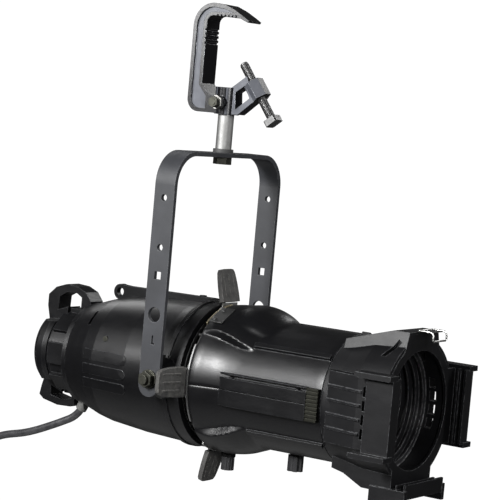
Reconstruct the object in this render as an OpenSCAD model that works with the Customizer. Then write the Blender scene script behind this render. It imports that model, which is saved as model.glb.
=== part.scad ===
// Ellipsoidal stage spotlight hung from a C-clamp.
// The frame's origin is the centre of the pipe that the clamp grips.
// X runs across the yoke, the beam leaves along -Y, and Z is up.

/* [Hanging] */
// Height of the gripped pipe's centre above the tilt axis
pipe_height = 461; // [450:1:480]
// Distance of the gripped pipe's centre behind the stud
pipe_set = 8; // [6:0.5:9]
// Diameter of the stud that the yoke turns on
stud_d = 22.2; // [21:0.1:22.4]
// Depth of the cast clamp along the pipe
clamp_depth = 31; // [28:1:34]
// Diameter of the bolt that clamps the pipe
pipe_bolt_d = 12.7; // [12:0.1:13]

/* [Yoke] */
// Outside width of the yoke
yoke_w = 257; // [255:1:262]
// Width of the yoke's flat bar
yoke_bar = 32; // [30:1:33]
// Thickness of the yoke's flat bar
yoke_t = 6; // [5:0.5:6]
// Height of the strap's top above the tilt axis
yoke_h = 304; // [302:1:306]
// Outside radius of the yoke's bends
yoke_bend = 45; // [35:1:50]

/* [Optics] */
// Outside radius of the lens barrel
barrel_r = 86; // [86:0.5:87]
// Wall thickness of the castings
wall = 3; // [2.5:0.5:3]
// Radius of the front bore
bore_r = 78; // [74:0.5:80]
// Width of the square colour frame that the front takes
frame_w = 190.5; // [188:0.5:191]
// Radius of the light opening in the gate
gate_r = 39; // [34:1:42]

/* [Shutters] */
// Width of a shutter blade
blade_w = 84; // [76:1:86]
// Length of a shutter grip
grip_len = 46; // [40:1:48]
// Backward lean of a shutter grip
grip_lean = 15; // [12:1:16]

/* [Cord] */
// Diameter of the supply cord
cord_d = 11; // [10:0.5:11.5]

/* [Hidden] */
$fn = 96;
eps = 0.01;
fit = 0.05;

casting = [0.13, 0.13, 0.14];
bright_zinc = [0.75, 0.75, 0.73];
bare_steel = [0.6, 0.6, 0.6];
grip_grey = [0.42, 0.41, 0.38];

// Places along the beam, measured from the tilt axis; the beam leaves along -Y
housing_front = -27;
housing_rear = 186;
barrel_rear = -42;
barrel_front = -240;
nose_rear = -241;
nose_front = -335;
frame_front = -356;
burner_front = 187;
burner_step = 228;
cap_rear = 264;

// Clamp bolt line in the Y-Z plane
bolt_lean = 36.8;
bolt_tip = [-21.2, 427];
bolt_len = 88;
boss_back = 44;
boss_len = 26;
boss_r = 14;
bolt_head = 19;
bolt_head_t = 9;
clamp_low = 356;
clamp_high = 393;
clamp_post_r = 17;
lock_z = 372;
lock_d = 9.5;

stud_bottom = yoke_h + 5;
stud_top = 391;
washer_t = 5;
strap_bolt_r = 6;
pivot_d = 12.7;
arm_x = yoke_w / 2;
arm_in = arm_x - yoke_t;

// Everything is drawn about the tilt axis, then set below the pipe
module hang() translate([0, -pipe_set, -pipe_height]) children();

// Turns a shape drawn upward along Z so that it points along the beam, -Y
module along_beam(y) translate([0, y, 0]) rotate([90, 0, 0]) children();

// Turns a shape drawn upward along Z so that it points along +X
module along_x(x) translate([x, 0, 0]) rotate([0, 90, 0]) children();

// A tube lying on the beam axis between two places along it
module beam_tube(y_back, y_front, r_out, r_in) {
    along_beam(y_back)
        difference() {
            cylinder(h = y_back - y_front, r = r_out);
            translate([0, 0, -1]) cylinder(h = y_back - y_front + 2, r = r_in);
        }
}

// A solid turned about the beam axis from [radius, place along Y] points
module turned(points, angle = 360, start = 0) {
    rotate([90, 0, 0])
        rotate([0, 0, start])
            rotate_extrude(angle = angle, $fn = 120)
                polygon([for (p = points) [p[0], -p[1]]]);
}

module hex(across, h) cylinder(h = h, r = across / 2 / cos(30), $fn = 6);

// ---------------------------------------------------------------- clamp

function arc(cy, cz, r, a0, a1, n) =
    [for (i = [0 : n]) let (a = a0 + (a1 - a0) * i / n) [cy + r * cos(a), cz + r * sin(a)]];

// Outline of the C in the Y-Z plane
module hook_outline() {
    polygon(concat(
        [[4, 357], [38, 357]],
        arc(38, 375, 18, -90, 0, 8),
        arc(24, 474, 32, 0, 90, 12),
        [[6, 504], [-10, 497.5], [-24, 490], [-34, 484], [-32, 481.5], [-18, 487]],
        arc(24, 479, 10, 90, 0, 6),
        [[34, 396], [20, 380], [4, 380]]
    ));
}

// Recess between the raised rims of the C
module hook_recess() {
    polygon(concat(
        [[26, 362.5], [38, 362.5]],
        arc(38, 375, 12.5, -90, 0, 6),
        arc(24, 474, 26.5, 0, 90, 10),
        [[8, 498.5], [-8, 494]],
        arc(24, 478.5, 15, 90, 0, 6),
        [[39, 394], [26, 379]]
    ));
}

// Places a Z-drawn shape on the clamp bolt's line, at a distance back from its tip
module on_bolt(back) {
    translate([0, bolt_tip[0], bolt_tip[1]])
        rotate([-bolt_lean, 0, 0])
            translate([0, 0, -back])
                children();
}

module bolt_arm() {
    translate([-9, 0, 0])
        rotate([90, 0, 90])
            linear_extrude(18)
                difference() {
                    polygon([[-8, 391], [-34, 410], [-50, 378], [-24, 357], [-6, 357]]);
                    polygon([[-17.5, 387], [-33, 397.5], [-41, 380.5], [-19.5, 363.5]]);
                }
}

module clamp_hook() color(casting) {
    recess = 3;
    difference() {
        union() {
            translate([-clamp_depth / 2, 0, 0])
                rotate([90, 0, 90])
                    linear_extrude(clamp_depth) hook_outline();
            translate([0, 0, clamp_low]) cylinder(h = clamp_high - clamp_low, r = clamp_post_r);
            bolt_arm();
            on_bolt(boss_back + boss_len / 2) cylinder(h = boss_len, r = boss_r, $fn = 6);
            translate([0, 0, lock_z]) along_x(-21) cylinder(h = 12, r = 9.5);
        }
        for (side = [-1, 1])
            translate([side > 0 ? clamp_depth / 2 - recess : -clamp_depth / 2 - 1, 0, 0])
                rotate([90, 0, 90])
                    linear_extrude(recess + 1) hook_recess();
        // Teeth on the spine and under the jaw
        for (i = [0 : 3])
            translate([-clamp_depth / 2 - 1, 32, 450 + 6 * i])
                cube([clamp_depth + 2, 4, 2.4]);
        for (i = [0 : 5])
            translate([-clamp_depth / 2 - 1, -14 + 6 * i, 486])
                cube([clamp_depth + 2, 2.4, 4.6]);
        translate([0, 0, clamp_low - 1]) cylinder(h = clamp_high - clamp_low + 2, r = stud_d / 2 + fit);
        on_bolt(bolt_len) cylinder(h = bolt_len, r = pipe_bolt_d / 2 + fit);
        translate([0, 0, lock_z]) along_x(-30) cylinder(h = 30, r = lock_d / 2 + fit);
    }
}

module pipe_bolt() color(bright_zinc) {
    on_bolt(bolt_len) cylinder(h = bolt_len, r = pipe_bolt_d / 2);
    on_bolt(bolt_len + bolt_head_t)
        translate([-bolt_head / 2, -bolt_head / 2, 0]) cube([bolt_head, bolt_head, bolt_head_t + eps]);
}

module pan_lock_screw() color(bright_zinc)
    translate([0, 0, lock_z]) {
        along_x(-37) cylinder(h = 37 - stud_d / 2 - 0.3, r = lock_d / 2);
        along_x(-36) hex(13, 7);
    }

module pan_lock_nut() color(bright_zinc)
    translate([0, 0, lock_z])
        difference() {
            along_x(-28.4) hex(17, 7);
            along_x(-30) cylinder(h = 12, r = lock_d / 2 + fit);
        }

// ---------------------------------------------------------------- stud and yoke

module stud() color(bright_zinc)
    difference() {
        translate([0, 0, stud_bottom]) cylinder(h = stud_top - stud_bottom, r = stud_d / 2);
        translate([0, 0, stud_bottom - 1]) cylinder(h = 24, r = strap_bolt_r + fit);
    }

module strap_washer() color([0.12, 0.12, 0.12])
    difference() {
        translate([0, 0, yoke_h]) cylinder(h = washer_t, r = 14);
        translate([0, 0, yoke_h - 1]) cylinder(h = washer_t + 2, r = strap_bolt_r + fit);
    }

module yoke_bolt() color(bright_zinc) {
    translate([0, 0, yoke_h - yoke_t - 10]) hex(22, 10);
    translate([0, 0, yoke_h - yoke_t - eps]) cylinder(h = yoke_t + washer_t + 20, r = strap_bolt_r);
}

module yoke_arm() {
    arm_foot = -8;
    difference() {
        union() {
            translate([arm_in, -yoke_bar / 2, arm_foot])
                cube([yoke_t, yoke_bar, yoke_h - yoke_bend - arm_foot]);
            translate([0, 0, arm_foot]) along_x(arm_in) cylinder(h = yoke_t, r = yoke_bar / 2);
        }
        for (hole = [[241, 4.5], [175, 4.5], [85.6, 10]])
            translate([0, 0, hole[0]]) along_x(arm_in - 1) cylinder(h = yoke_t + 2, r = hole[1]);
        along_x(arm_in - 1) cylinder(h = yoke_t + 2, r = pivot_d / 2 + fit);
        translate([arm_in - 1, -5.2, 132.4]) cube([yoke_t + 2, 10.4, 10.4]);
        translate([arm_in - 1, -1.2, 46]) cube([yoke_t + 2, 2.4, 12]);
        translate([arm_in - 1, -4, 46]) cube([yoke_t + 2, 5, 2.4]);
    }
}

module yoke_corner() {
    translate([arm_x - yoke_bend, 0, yoke_h - yoke_bend])
        rotate([90, 0, 0])
            translate([0, 0, -yoke_bar / 2])
                rotate_extrude(angle = 90)
                    translate([yoke_bend - yoke_t, 0]) square([yoke_t, yoke_bar]);
}

// The far arm lies towards +X; the near one is its mirror image
module yoke_arm_far() color(casting) {
    yoke_arm();
    yoke_corner();
}

module yoke_arm_near() mirror([1, 0, 0]) yoke_arm_far();

module yoke_strap() color(casting)
    difference() {
        translate([-(arm_x - yoke_bend), -yoke_bar / 2, yoke_h - yoke_t])
            cube([2 * (arm_x - yoke_bend), yoke_bar, yoke_t]);
        translate([0, 0, yoke_h - yoke_t - 1]) cylinder(h = yoke_t + 2, r = strap_bolt_r + fit);
    }

// ---------------------------------------------------------------- tilt pivots

pivot_inner = 104;
pivot_len = 39;

module pivot_bolt(side)
    mirror([side, 0, 0]) along_x(pivot_inner) cylinder(h = pivot_len, r = pivot_d / 2);

module pivot_bolt_near() color(bright_zinc) pivot_bolt(1);
module pivot_bolt_far() color(bright_zinc) pivot_bolt(0);

module pivot_washer(side) {
    mirror([side, 0, 0])
        difference() {
            along_x(arm_x + 0.1) cylinder(h = 2, r = 12.5);
            along_x(arm_x - 1) cylinder(h = 5, r = pivot_d / 2 + fit);
        }
}

module pivot_washer_near() color(bright_zinc) pivot_washer(1);
module pivot_washer_far() color(bright_zinc) pivot_washer(0);

module pivot_nut_near() color(bright_zinc)
    mirror([1, 0, 0])
        difference() {
            along_x(arm_x + 2.1) hex(19, 8);
            along_x(arm_x) cylinder(h = 14, r = pivot_d / 2 + fit);
        }

// Hub with a swept lever, turned by hand to lock the tilt
module tilt_lock_knob() color(casting)
    difference() {
        union() {
            along_x(arm_x + 2.3) cylinder(h = 20, r = 13);
            translate([arm_x + 9, -6, 0]) cube([9, 12, 52]);
            translate([0, 0, 52]) along_x(arm_x + 9) cylinder(h = 9, r = 6);
        }
        along_x(arm_x) cylinder(h = 16, r = pivot_d / 2 + fit);
    }

// ---------------------------------------------------------------- reflector housing

// Outer profile of the housing as [radius, place along Y]
housing_profile = [
    [99, housing_front], [99.5, -10], [97.5, 12], [96.3, 40], [95, 70], [92.3, 98],
    [89.4, 128], [85, 149], [79, 168], [75.5, 178], [73, housing_rear]
];

function inset(points, t) = [for (p = points) [p[0] - t, p[1]]];
function backward(points) = [for (i = [len(points) - 1 : -1 : 0]) points[i]];

// Slots that let the hot air out
vent_angles = [45, 180, 315];
vent_y = 151;
vent_size = [26, 5, 40];
screw_r = 4;

module housing_panels() {
    // Long raised panels low on each side, with rounded front ends
    for (side = [0, 1])
        mirror([side, 0, 0])
            for (z = [12, -8, -28])
                translate([0, 0, z]) {
                    translate([80, 72, -7]) cube([15.5, 72, 14]);
                    translate([0, 72, 0]) along_x(80) cylinder(h = 15.5, r = 7);
                }
}

module reflector_housing() color(casting)
    difference() {
        union() {
            turned(concat(housing_profile, backward(inset(housing_profile, wall))));
            intersection() {
                housing_panels();
                turned(concat(inset(housing_profile, -1.2), backward(inset(housing_profile, 1.5))));
            }
            // Trumpet bosses that carry the pivots
            for (side = [0, 1])
                mirror([side, 0, 0]) {
                    along_x(93.5) cylinder(h = 16, r1 = 30, r2 = 19);
                    along_x(109.4) cylinder(h = arm_in - 109.4 - 0.3, r = 19);
                }
            // Inner ring at the front that the gate turns against
            beam_tube(-21, housing_front, 98, 80);
            beam_tube(housing_rear, housing_rear - 4, 71, 61.5);
            // Stiffening ring near the yoke, and the seat of the reflector
            beam_tube(-2, -8, 101, 97);
            beam_tube(4, -4, 97, 82);
        }
        for (angle = vent_angles)
            rotate([0, angle, 0])
                translate([-vent_size[0] / 2, vent_y, 60]) cube(vent_size);
        for (side = [0, 1])
            mirror([side, 0, 0]) along_x(100) cylinder(h = 40, r = pivot_d / 2 + fit);
        screw_rods(screw_r + fit);
    }

// Raised rail along the top that ends in the safety-cable eye
eye_y = 151;
eye_z = 94;
eye_r = 6;

module housing_rail() color(casting)
    difference() {
        union() {
            translate([-4.5, 0, 0])
                rotate([90, 0, 90])
                    linear_extrude(9)
                        polygon([[-20, 96], [-20, 102], [-10, 104.5], [136, 103.5], [151, 104.5],
                                 [158, 98], [158, 88], [150, 80], [128, 84], [12, 92]]);
            translate([0, eye_y, eye_z]) along_x(-4.5) cylinder(h = 9, r = 11);
            translate([0, 12, 103]) cylinder(h = 3, r = 5);
        }
        translate([0, eye_y, eye_z]) along_x(-6) cylinder(h = 12, r = eye_r);
        turned(concat([[0, housing_front]], inset(housing_profile, -2 * fit), [[0, housing_rear]]));
        beam_tube(-1.9, -8.1, 101.1, 90);
    }

// Four screws through the wall, two on each side
module screw_rods(r)
    for (side = [0, 1])
        mirror([side, 0, 0])
            for (place = [[20, 40, 97], [110, 36, 91]])
                translate([0, place[0], place[1]])
                    along_x(sqrt(pow(place[2], 2) - pow(place[1], 2)) - 4) cylinder(h = 5.5, r = r);

module housing_screws() color(bare_steel) screw_rods(screw_r);

// Faceted mirror of half-ellipse section
function ellipse_r(y) = 78 * sqrt(max(0, 1 - pow((y + 8) / 168, 2)));
mirror_stations = [for (i = [0 : 12]) 4 + 12 * i];

module reflector() color([0.85, 0.86, 0.9]) {
    beam_tube(-4.1, -7, 92, 78.5);
    turned(concat(
        [[81, -6]],
        [for (y = mirror_stations) [ellipse_r(y) + 3, y]],
        [for (i = [12 : -1 : 0]) [ellipse_r(mirror_stations[i]), mirror_stations[i]]],
        [[78.2, -6]]
    ));
}

// ---------------------------------------------------------------- burner

module burner_body() color(casting)
    difference() {
        union() {
            beam_tube(burner_step, burner_front, 57, 45);
            along_beam(burner_step + 6) cylinder(h = 8, r = 55);
            // Flange that seats on the housing
            beam_tube(burner_front + 7, burner_front + 0.3, 72, 46);
            for (i = [0 : 7])
                rotate([0, 45 * i, 0])
                    translate([-15, burner_front + 6, 50]) cube([30, burner_step - burner_front - 6, 11]);
        }
        along_beam(burner_step + 10) cylinder(h = 14, r = 16);
        gland_solid(8);
    }

module loop_profile() {
    difference() {
        polygon([[194.2, 62], [194.2, 74], [204, 86], [220, 92.5], [240, 94], [258, 88], [271, 76],
                 [271, 60], [266, 40], [266, -40], [271, -56], [274, -70], [266, -76], [240, -81],
                 [216, -80], [203, -73], [203, -61], [234.4, -61], [234.4, 62]]);
        polygon([[211, 60], [211, 78], [220, 83], [238, 83], [251, 75], [252, 56], [246, 58], [234.4, 62]]);
        polygon([[214, -60], [216, -69], [234, -71.5], [253, -68], [254, -54], [248, -56], [234.4, -61]]);
    }
}

module burner_cap() color(casting)
    difference() {
        union() {
            // Domed rear shell, kept to a band across the middle
            intersection() {
                turned([[0, 234.4], [57, 234.4], [60, 240], [59, 250], [52, 259], [40, cap_rear],
                        [0, cap_rear + 3]]);
                translate([-70, 230, -42]) cube([140, 60, 84]);
            }
            translate([-14, 0, 0])
                rotate([90, 0, 90])
                    linear_extrude(28) loop_profile();
        }
        along_beam(234.3) cylinder(h = 84, r = 61.8);
        translate([-50, 180, -61.5]) cube([100, 54.3, 123]);
        along_beam(290) cylinder(h = 70, r = 16);
        translate(screw_place) along_beam(290) cylinder(h = 70, r = 3 + fit);
        translate([-40, 180, -92]) cube([36, 30, 32]);
    }

// Knurled captive screw that holds the burner to the housing
screw_place = [36, 0, 20];

module burner_screw() color(bright_zinc)
    translate(screw_place) {
        along_beam(272) cylinder(h = 32, r = 3);
        along_beam(274) cylinder(h = 9, r = 7);
    }

module centring_knob() color([0.1, 0.1, 0.1])
    difference() {
        along_beam(272) cylinder(h = 36, r = 15.9);
        along_beam(280) cylinder(h = 60, r = 8 + fit);
    }

module peak_knob() color([0.16, 0.16, 0.17]) {
    along_beam(276) cylinder(h = 52, r = 8);
    translate([0, 276, 0]) along_beam(0) cylinder(h = 4, r = 11);
}

// ---------------------------------------------------------------- lamp

module lamp_socket() color([0.86, 0.84, 0.78])
    difference() {
        union() {
            along_beam(220) cylinder(h = 58, r = 20);
            along_beam(220) cylinder(h = 6, r = 40);
        }
        along_beam(170) cylinder(h = 20, r = 10.5);
    }

module lamp_base() color([0.7, 0.7, 0.72]) {
    along_beam(169.9) cylinder(h = 20, r = 10.4);
    for (i = [0 : 2])
        along_beam(158 - 3.2 * i) cylinder(h = 1.6, r = 14);
}

glass_front = 86;
glass_back = 149.8;
glass_r = 9.5;

module lamp_glass() color([0.9, 0.95, 1, 0.4])
    difference() {
        union() {
            along_beam(glass_back) cylinder(h = glass_back - glass_front - glass_r, r = glass_r);
            translate([0, glass_front + glass_r, 0]) sphere(r = glass_r);
        }
        along_beam(glass_back - 6)
            cylinder(h = glass_back - 6 - glass_front - glass_r, r = glass_r - 1);
        translate([0, glass_front + glass_r, 0]) sphere(r = glass_r - 1);
    }

module lamp_filament() color([0.55, 0.53, 0.5]) {
    coil_h = 18;
    for (i = [0 : 3])
        rotate([0, 90 * i, 0])
            translate([0, 0, 4.2]) along_beam(120) cylinder(h = coil_h, r = 1.2);
    along_beam(143.8) cylinder(h = 24, r = 1.2);
    along_beam(121) cylinder(h = 1.2, r = 5.2);
}

// ---------------------------------------------------------------- cord

// Route from the gland to the coil, and from the coil to the plug
lead_route = [
    [-14, 196, -80], [-14, 198.9, -85], [-14.5, 203.5, -89.5], [-15, 208, -93.5], [-16, 213.5, -97],
    [-17, 222, -101], [-18, 232, -106], [-19, 248, -113], [-20, 264, -120], [-20, 280, -126],
    [-20, 296, -131], [-20, 312, -134.5], [-20, 326, -138], [-20, 340, -143], [-20, 352, -150],
    [-20, 362, -160], [-20, 369, -172], [-20, 373, -186], [-20, 374, -200]
];
coil_r = 55;
coil_entry = lead_route[len(lead_route) - 1];
coil_rows = 23;
coil_centre = coil_entry + [-coil_r, coil_rows / 2, 0];
coil_width = coil_rows + cord_d + 1;
tail_start = coil_entry + [0, coil_rows, 0];
tail_end = tail_start - [0, 0, 62];
tail_route = [tail_start, tail_start - [0, 0, 20], tail_start - [0, 0, 40], tail_end];
gland_exit = lead_route[0];
gland_lean = 30;

function unit(v) = v / norm(v);
function heading(route, i) =
    unit(route[min(i + 1, len(route) - 1)] - route[max(i - 1, 0)]);

// A closed tube of a cord's diameter along a route
module swept(route, d, sides = 8) {
    rings = [for (i = [0 : len(route) - 1])
        let (t = heading(route, i), a = unit(cross([1, 0, 0], t)), b = cross(t, a))
        for (k = [0 : sides - 1])
            route[i] + d / 2 * (cos(360 * k / sides) * a + sin(360 * k / sides) * b)];
    last = sides * (len(route) - 1);
    polyhedron(rings, concat(
        [[for (k = [0 : sides - 1]) k]],
        [for (i = [0 : len(route) - 2], k = [0 : sides - 1])
            let (n = (k + 1) % sides, p = sides * i)
            [p + k, p + sides + k, p + sides + n, p + n]],
        [[for (k = [sides - 1 : -1 : 0]) last + k]]
    ));
}

module gland_solid(r) {
    translate(gland_exit)
        rotate([180 + gland_lean, 0, 0])
            translate([0, 0, -26]) cylinder(h = 26, r = r);
}

module cord_gland() color([0.5, 0.5, 0.48])
    difference() {
        gland_solid(8);
        translate([-40, housing_rear - 20, -100]) cube([60, 21.3, 60]);
    }

module cord_lead() color([0.3, 0.3, 0.31]) swept(lead_route, cord_d);

module cord_coil() color([0.3, 0.3, 0.31])
    translate(coil_centre)
        rotate([90, 0, 0])
            translate([0, 0, -coil_width / 2])
                difference() {
                    cylinder(h = coil_width, r = coil_r + cord_d / 2);
                    translate([0, 0, -1]) cylinder(h = coil_width + 2, r = coil_r - cord_d / 2);
                    // Flats where the lead comes in and the tail goes out
                    translate([coil_r - cord_d, -1, coil_width - cord_d - 0.6])
                        cube([2 * cord_d, coil_r + cord_d, cord_d + 2]);
                    translate([coil_r - cord_d, -coil_r - cord_d, -1])
                        cube([2 * cord_d, coil_r + cord_d + 1, cord_d + 1.6]);
                }

tie_h = cord_d + 6;

module cord_tie() color([0.1, 0.1, 0.1])
    translate(coil_centre - [coil_r, 0, 0])
        difference() {
            translate([-tie_h / 2, -coil_width / 2 - 2.4, -5]) cube([tie_h, coil_width + 4.8, 10]);
            translate([-tie_h / 2 + 2, -coil_width / 2 - 0.2, -6])
                cube([tie_h - 4, coil_width + 0.4, 12]);
        }

module cord_tail() color([0.3, 0.3, 0.31]) swept(tail_route, cord_d);

module plug_body() color([0.15, 0.15, 0.15])
    translate(tail_end) {
        translate([0, 0, -12]) cylinder(h = 12, r1 = 11, r2 = 8);
        translate([-11, -25, -66]) cube([22, 50, 54]);
    }

module plug_pins() color([0.8, 0.62, 0.3])
    for (place = [-18, 4, 18])
        translate(tail_end + [0, place, -66 - 24]) cylinder(h = 24, r = 3.2);

// ---------------------------------------------------------------- gate and shutters

post_r = 84;

module gate_rear_plate() color(bare_steel) {
    beam_tube(-27.3, -28.5, 90, gate_r);
    for (i = [0 : 3])
        rotate([0, 45 + 90 * i, 0])
            translate([0, 0, post_r]) along_beam(-28) cylinder(h = 12.5, r = 3);
}

module gate_front_plate() color(bare_steel) beam_tube(-40.5, -41.7, 96, gate_r);

blade_t = 0.8;
blade_in = -18;
blade_out = 101.5;
plane_top = -33;
plane_bottom = -30;
plane_near = -38.4;
plane_far = -36;

// Upright blade; the others are the same blade turned about the beam
module blade(plane) {
    half = blade_w / 2;
    translate([0, plane + blade_t / 2, 0])
        rotate([90, 0, 0])
            linear_extrude(blade_t)
                polygon([[-half, blade_in], [half, blade_in], [half, 82], [18, 97], [18, blade_out],
                         [-18, blade_out], [-18, 97], [-half, 82]]);
}

module grip(plane) {
    thick = 7;
    difference() {
        translate([0, plane, blade_out])
            rotate([-grip_lean, 0, 0])
                rotate([90, 0, 0])
                    translate([0, 0, -thick / 2])
                        linear_extrude(thick)
                            polygon([[-20, -4], [20, -4], [20, 22], [17, grip_len - 4],
                                     [13, grip_len], [-13, grip_len], [-17, grip_len - 4], [-20, 22]]);
        translate([-30, plane - 20, blade_out - 20]) cube([60, 40, 20]);
    }
}

module shutter_top() color(bare_steel) blade(plane_top);
module shutter_bottom() color(bare_steel) rotate([0, 180, 0]) blade(plane_bottom);
module shutter_near() color(bare_steel) rotate([0, -90, 0]) blade(plane_near);
module shutter_far() color(bare_steel) rotate([0, 90, 0]) blade(plane_far);
module grip_top() color(grip_grey) grip(plane_top);
module grip_bottom() color(grip_grey) rotate([0, 180, 0]) grip(plane_bottom);
module grip_near() color(grip_grey) rotate([0, -90, 0]) grip(plane_near);
module grip_far() color(grip_grey) rotate([0, 90, 0]) grip(plane_far);

// ---------------------------------------------------------------- lens barrel

barrel_profile = [
    [97, barrel_rear], [96, -50], [93, -62], [89.5, -78], [87.2, -95], [barrel_r, -115],
    [barrel_r, barrel_front]
];
// Swelling over the shutters, at the top and the bottom
swell_profile = [
    [99.5, barrel_rear], [101.5, -58], [101, -72], [97.5, -92], [91, -110], [barrel_r - 1, -128]
];
swell_half = 46;
dome_r = 75;
dome_y = -88;
dome_z = 29.5;
rail_long = 119;
slot_half = 4.2;
slot_rear = -154;
slot_len = 64;

module rail(angle, y_front, length, width, height) {
    rotate([0, angle, 0])
        translate([-width / 2, y_front, barrel_r - 3]) cube([width, length, height + 3]);
}

module barrel_half_shell(start) {
    turned(concat(barrel_profile, backward(inset(barrel_profile, wall))), 180, start);
    turned(concat(swell_profile, backward(inset(swell_profile, wall))),
           2 * swell_half, start + 90 - swell_half);
    // Raised block along each side
    for (side = [0, 1])
        mirror([side, 0, 0])
            translate([barrel_r - 5, -221, start > 0 ? -24 : 0])
                cube([10, 136, start > 0 ? 24 : 19]);
}

module barrel_bore() {
    along_beam(-100) cylinder(h = 160, r = barrel_r - wall);
    along_beam(-43) cylinder(h = 60, r = barrel_r - wall);
}

module barrel_upper() color(casting)
    difference() {
        union() {
            barrel_half_shell(0);
            difference() {
                translate([0, dome_y, dome_z]) sphere(r = dome_r);
                translate([-100, -300, -100]) cube([200, 400, 165]);
                translate([-100, barrel_rear - 2, -100]) cube([200, 100, 300]);
            }
            rail(-48, -239, rail_long, 7, 4.5);
            rail(22, -236, rail_long + 22, 7, 4);
            rail(22, -239, 14, 10, 6);
        }
        barrel_bore();
        translate([0, dome_y, dome_z]) sphere(r = dome_r - wall);
        // Groove under the top edge of each side block
        for (side = [0, 1])
            mirror([side, 0, 0]) translate([85.5, -218, 14]) cube([8, 130, 3.2]);
        rotate([0, -84, 0]) for (y = [-104, -206])
            translate([0, y, 76]) cylinder(h = 14, r = 2.5);
    }

module barrel_lower() color(casting)
    difference() {
        union() {
            barrel_half_shell(180);
            for (side = [-1, 1])
                rail(130 * side, -239, rail_long, 6, 3.5);
            translate([0, -52, -108]) cylinder(h = 12, r = 10);
        }
        barrel_bore();
        translate([-slot_half, slot_rear - slot_len, -100]) cube([2 * slot_half, slot_len, 40]);
        translate([0, -52, -112]) cylinder(h = 30, r = 4 + fit);
    }

module barrel_end(side) {
    mirror([side, 0, 0])
        difference() {
            translate([80, barrel_front + 1, -24]) cube([11, 17.5, 43]);
            along_beam(-200) cylinder(h = 60, r = barrel_r + 0.1);
            for (i = [0 : 7])
                translate([89.5, barrel_front, -20.6 + 5 * i]) cube([3, 19, 1.6]);
        }
}

module barrel_end_near() color(bare_steel) barrel_end(1);
module barrel_end_far() color(bare_steel) barrel_end(0);

module barrel_screws() color(bare_steel)
    rotate([0, -84, 0]) for (y = [-104, -206])
        translate([0, y, barrel_r - wall + 0.5]) cylinder(h = 5, r = 2.5 - fit);

// Plate over the accessory slot, with its two screws
module slot_cover() color([0.1, 0.1, 0.1])
    rotate([0, -30, 0]) {
        translate([-17, -66, 101.6]) cube([34, 20, 2]);
        for (x = [-11, 11])
            translate([x, -52, 103.4]) cylinder(h = 2, r = 3.2);
    }

module rotation_knob() color([0.12, 0.12, 0.12])
    translate([0, -52, 0]) {
        translate([0, 0, -112]) cylinder(h = 22, r = 4);
        difference() {
            translate([0, 0, -126]) cylinder(h = 17.6, r = 9);
            for (i = [0 : 11])
                rotate([0, 0, 30 * i]) translate([9.4, 0, -127]) cylinder(h = 20, r = 1.2);
        }
    }

focus_y = -160;

module focus_knob() color([0.12, 0.12, 0.12])
    translate([0, focus_y, 0])
        difference() {
            translate([0, 0, -109]) cylinder(h = 21, r = 11);
            for (i = [0 : 5])
                rotate([0, 0, 60 * i]) translate([12.5, 0, -110]) cylinder(h = 23, r = 3.6);
        }

// Threaded stub of the focus knob, which runs in the slot
module focus_stub() color(bright_zinc)
    translate([0, focus_y, -87.9]) cylinder(h = 8, r = 3.5);

// ---------------------------------------------------------------- lens tube and nose

tube_r = barrel_r - wall - 0.3;
tube_rear = -138;
tube_in = tube_r - 2.4;
face_t = 4;
nose_in = 83.2;
wing_x = 97;
channel_half = 50;

module lens_tube() color([0.16, 0.16, 0.17])
    difference() {
        beam_tube(tube_rear, nose_rear - 6, tube_r, tube_in);
        translate([0, focus_y, -90]) cylinder(h = 20, r = 3.5 + fit);
    }

module hood_front() {
    polygon([[-52, 58], [52, 58], [38, 103], [-38, 103]]);
}

module nose_face() {
    circle(r = 90);
    hood_front();
    translate([-wing_x, -channel_half]) square([2 * wing_x, 2 * channel_half]);
    translate([-52, -103]) square([104, 60]);
}

// Walls that carry the round nose out to the square front
module nose_walls() {
    for (side = [0, 1])
        mirror([side, 0, 0])
            translate([0, 0, -46])
                linear_extrude(92)
                    polygon([[76, -246], [86, -250], [97, -300], [97, -334], [70, -334]]);
    intersection() {
        translate([0, nose_front + 1, 0]) rotate([90, 0, 0]) mirror([0, 0, 1])
            linear_extrude(90) hood_front();
        rotate([90, 0, 90]) translate([0, 0, -60])
            linear_extrude(120)
                polygon([[-246, 50], [-246, 84], [-312, 103], [-335, 103.5], [-335, 50]]);
    }
    translate([-52, 0, 0])
        rotate([90, 0, 90])
            linear_extrude(104)
                polygon([[-246, -50], [-246, -84], [-264, -88], [-292, -102], [-334, -103], [-334, -50]]);
}

// Three-sided holder for the square colour frame
slot_in = frame_w / 2 + 1.25;
channel_out = 108;

module channel(turn) {
    rotate([0, turn, 0]) {
        translate([-channel_half, frame_front, slot_in]) cube([2 * channel_half, 38, channel_out - slot_in]);
        for (rib = [[frame_front, 3.5, 8], [-343.5, 2.5, 6]])
            translate([-channel_half, rib[0], slot_in - rib[2]])
                cube([2 * channel_half, rib[1], rib[2] + 1]);
        for (end = [-1, 1])
            translate([end * (channel_half + 1) - 3.5, frame_front - 1, slot_in])
                cube([7, 52, 21.5]);
    }
}

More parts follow.
